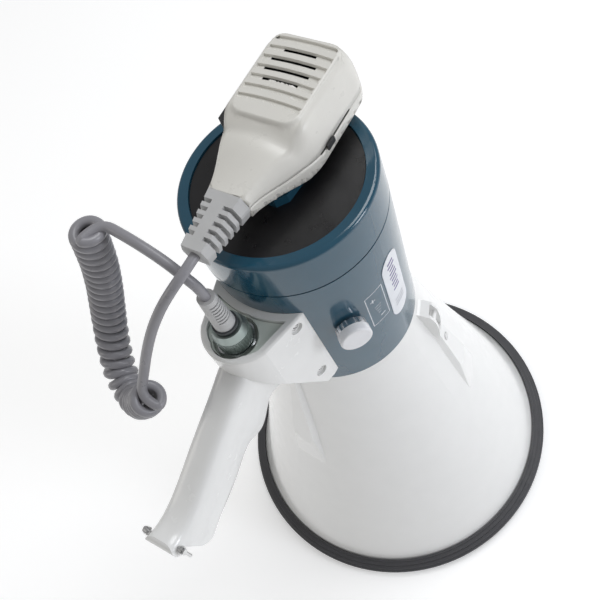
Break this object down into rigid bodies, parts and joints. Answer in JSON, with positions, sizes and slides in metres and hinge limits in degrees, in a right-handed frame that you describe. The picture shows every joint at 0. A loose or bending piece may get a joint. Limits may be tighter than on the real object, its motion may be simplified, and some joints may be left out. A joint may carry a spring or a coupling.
{
  "type": "handheld megaphone",
  "caption": "Handheld megaphone with folded horn, rubber rim, pistol handle, twist-off battery cap and a fist microphone on a coiled cord hung on the rear.",
  "frame": {"origin": "centre of the horn's mouth, in the plane of the rubber ring's underside, on which the megaphone stands", "axes": "+Z from the horn's mouth to the battery cap, -Y towards the handle, +X to the volume knob's side"},
  "size_m": [0.23, 0.2854, 0.382],
  "materials": {
    "horn_white": "glossy white ABS",
    "grip_white": "glossy white ABS",
    "ring_rubber": "dark grey soft rubber",
    "inner_grey": "moulded light grey",
    "diaphragm": "formed phenolic film",
    "copper": "enamelled copper wire",
    "plated_steel": "zinc plated steel",
    "ferrite": "sintered ferrite",
    "body_teal": "glossy petrol blue ABS",
    "disc_black": "satin black",
    "board_green": "solder mask",
    "fin_aluminium": "extruded",
    "part_black": "moulded black",
    "pillar_brass": "turned",
    "screw_steel": "stainless steel",
    "knob_chrome": "plated, faceted",
    "knob_grey": "light grey, glossy",
    "label_print": "printed film",
    "cell_jacket": "wrapped dry cell",
    "contact_strip": "sprung strip",
    "seal_rubber": "black O-section",
    "panel_gloss": "glossy insert",
    "socket_metal": "nickel plated",
    "lock_ring": "knurled, grey green",
    "plug_dark": "moulded black",
    "relief_grey": "soft light grey",
    "mic_grey": "fine textured warm grey",
    "button_black": "satin black",
    "stud_nylon": "hard nylon",
    "capsule_can": "drawn can",
    "cord_grey": "mid grey flexible jacket"
  },
  "bodies": {
    "megaphone": {"horn_bell": "horn_white", "lug_screw": "screw_steel", "bumper_ring": "ring_rubber", "inner_pipe": "inner_grey", "reflector_cup": "inner_grey", "pipe_vanes": "inner_grey", "horn_spider": "inner_grey", "baffle_plate": "inner_grey", "phase_plug": "inner_grey", "diaphragm": "diaphragm", "voice_coil": "copper", "top_plate": "plated_steel", "magnet_ring": "ferrite", "yoke": "plated_steel", "driver_screws": "screw_steel", "body_shell": "body_teal", "amplifier_board": "board_green", "board_pillars": "pillar_brass", "heatsink": "fin_aluminium", "board_components": "part_black", "potentiometer": "plated_steel", "potentiometer_nut": "screw_steel", "label_plate": "label_print", "battery_bulkhead": "part_black", "battery_cells": "cell_jacket", "tray_plates": "part_black", "tray_rods": "screw_steel", "contact_strips": "contact_strip", "cap_seal": "seal_rubber", "grip_body": "grip_white", "grip_front_cover": "grip_white", "bracket_screws": "screw_steel", "strap_pin": "screw_steel", "panel_plate": "panel_gloss", "panel_socket": "socket_metal", "socket_nut": "socket_metal", "plug_body": "plug_dark", "plug_relief": "relief_grey", "cord_plug_side": "cord_grey", "cord_coil": "cord_grey", "cord_mic_side": "cord_grey"},
    "knob": {"knob_shaft": "fin_aluminium", "knob_skirt": "knob_chrome", "knob_cap": "knob_grey"},
    "end_cap": {"battery_cap": "body_teal", "cap_disc": "disc_black", "mic_hanger": "body_teal"},
    "microphone": {"mic_front_shell": "mic_grey", "mic_rear_shell": "mic_grey", "mic_stud": "stud_nylon", "mic_stud_screw": "screw_steel", "mic_board": "board_green", "mic_capsule": "capsule_can", "talk_switch": "part_black", "mic_case_screws": "screw_steel", "mic_relief": "relief_grey"},
    "talk_bar": {"ptt_button": "button_black"},
    "level_slider": {"mic_slider": "button_black"},
    "strap_loop": {"strap_ring": "screw_steel"},
    "lock_ring": {"plug_locking_ring": "lock_ring"}
  },
  "joints": [
    {"name": "volume_knob_turn", "type": "hinge", "parent": "megaphone", "child": "knob", "pos_m": [0.03993, -0.03009, 0.2735], "axis": [0.7986, -0.6018, 0], "range_deg": [0, 300]},
    {"name": "battery_cap_turn", "type": "hinge", "parent": "megaphone", "child": "end_cap", "pos_m": [0, 0, 0.345], "axis": [0, 0, 1], "range_deg": [0, 18]},
    {"name": "microphone_off_hanger", "type": "slide", "parent": "megaphone", "child": "microphone", "axis": [0, 1, 0], "range_m": [0, 0.012]},
    {"name": "talk_bar_press", "type": "slide", "parent": "microphone", "child": "talk_bar", "axis": [1, 0, 0], "range_m": [0, 0.0025], "stiffness_N_per_m": 300},
    {"name": "level_slider_move", "type": "slide", "parent": "microphone", "child": "level_slider", "axis": [0, 1, 0], "range_m": [0, 0.0155]},
    {"name": "strap_ring_swing", "type": "hinge", "parent": "megaphone", "child": "strap_loop", "pos_m": [0, -0.166, 0.254], "axis": [1, 0, 0], "range_deg": [-150, 0]},
    {"name": "lock_ring_turn", "type": "hinge", "parent": "megaphone", "child": "lock_ring", "pos_m": [0, -0.0665, 0.31], "axis": [0, 0, 1], "range_deg": [0, 720]}
  ]
}
